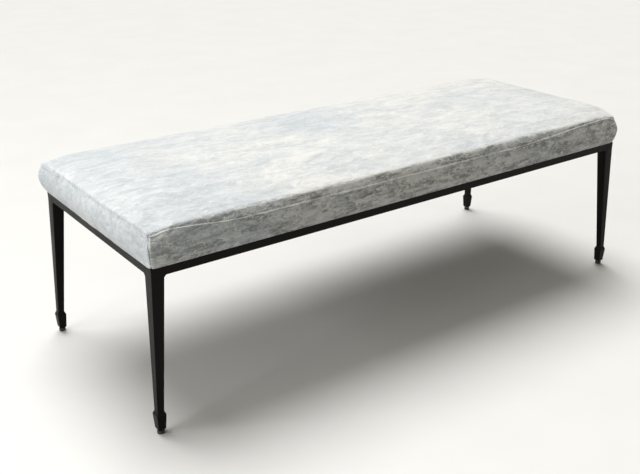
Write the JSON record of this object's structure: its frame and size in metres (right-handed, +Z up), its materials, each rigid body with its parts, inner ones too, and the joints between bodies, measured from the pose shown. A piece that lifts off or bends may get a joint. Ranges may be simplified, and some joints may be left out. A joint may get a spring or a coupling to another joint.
{
  "type": "upholstered bench",
  "caption": "Long backless seat: a boxed velvet cushion on a slim dark metal frame with tapered splayed legs, spade feet and screw-in levelling glides.",
  "frame": {"origin": "on the floor under the middle of the seat", "axes": "+X along the bench's length to the right-hand end as seen from the front, +Y from the front to the back, +Z up"},
  "size_m": [1.535, 0.6028, 0.4959],
  "materials": {
    "frame_paint": "satin",
    "bright_steel": "zinc plated",
    "glide_plastic": "matte",
    "plywood": "bare",
    "foam": "open cells",
    "fibre": "soft fibre",
    "velvet": "crushed pile with a silvery sheen",
    "dust_cloth": "matte non-woven"
  },
  "bodies": {
    "bench": {"front_rail": "frame_paint", "back_rail": "frame_paint", "left_rail": "frame_paint", "right_rail": "frame_paint", "leg_front_left": "frame_paint", "leg_front_right": "frame_paint", "leg_back_left": "frame_paint", "leg_back_right": "frame_paint", "spade_foot_front_left": "frame_paint", "spade_foot_front_right": "frame_paint", "spade_foot_back_left": "frame_paint", "spade_foot_back_right": "frame_paint", "corner_tab_front_left": "frame_paint", "corner_tab_front_right": "frame_paint", "corner_tab_back_left": "frame_paint", "corner_tab_back_right": "frame_paint", "cross_bar_left": "frame_paint", "cross_bar_right": "frame_paint", "corner_welds": "frame_paint", "seat_deck": "plywood", "seat_bolts": "bright_steel", "deck_nuts": "bright_steel", "cover_top": "velvet", "boxing_front": "velvet", "boxing_back": "velvet", "boxing_left": "velvet", "boxing_right": "velvet", "fibre_wrap": "fibre", "foam_core": "foam", "dust_cover": "dust_cloth", "cover_staples": "bright_steel", "dust_cover_staples": "bright_steel"},
    "glide_disc_front_left": {"glide_disc_front_left": "glide_plastic"},
    "glide_stud_front_left": {"glide_stud_front_left": "bright_steel"},
    "glide_disc_front_right": {"glide_disc_front_right": "glide_plastic"},
    "glide_stud_front_right": {"glide_stud_front_right": "bright_steel"},
    "glide_disc_back_left": {"glide_disc_back_left": "glide_plastic"},
    "glide_stud_back_left": {"glide_stud_back_left": "bright_steel"},
    "glide_disc_back_right": {"glide_disc_back_right": "glide_plastic"},
    "glide_stud_back_right": {"glide_stud_back_right": "bright_steel"}
  },
  "joints": [
    {"name": "level_front_left", "type": "slide", "parent": "bench", "child": "glide_disc_front_left", "axis": [0, 0, -1], "range_m": [0, 0.008]},
    {"name": "screw_front_left", "type": "hinge", "parent": "glide_disc_front_left", "child": "glide_stud_front_left", "pos_m": [-0.756, -0.2875, 0.02], "axis": [0, 0, -1], "range_deg": [0, 2304]},
    {"name": "level_front_right", "type": "slide", "parent": "bench", "child": "glide_disc_front_right", "axis": [0, 0, -1], "range_m": [0, 0.008]},
    {"name": "screw_front_right", "type": "hinge", "parent": "glide_disc_front_right", "child": "glide_stud_front_right", "pos_m": [0.756, -0.2875, 0.02], "axis": [0, 0, -1], "range_deg": [0, 2304]},
    {"name": "level_back_left", "type": "slide", "parent": "bench", "child": "glide_disc_back_left", "axis": [0, 0, -1], "range_m": [0, 0.008]},
    {"name": "screw_back_left", "type": "hinge", "parent": "glide_disc_back_left", "child": "glide_stud_back_left", "pos_m": [-0.756, 0.2875, 0.02], "axis": [0, 0, -1], "range_deg": [0, 2304]},
    {"name": "level_back_right", "type": "slide", "parent": "bench", "child": "glide_disc_back_right", "axis": [0, 0, -1], "range_m": [0, 0.008]},
    {"name": "screw_back_right", "type": "hinge", "parent": "glide_disc_back_right", "child": "glide_stud_back_right", "pos_m": [0.756, 0.2875, 0.02], "axis": [0, 0, -1], "range_deg": [0, 2304]}
  ],
  "couplings": [
    {"joint": "screw_front_left", "follows": "level_front_left", "rad_per_m": 5026.5},
    {"joint": "screw_front_right", "follows": "level_front_right", "rad_per_m": 5026.5},
    {"joint": "screw_back_left", "follows": "level_back_left", "rad_per_m": 5026.5},
    {"joint": "screw_back_right", "follows": "level_back_right", "rad_per_m": 5026.5}
  ]
}
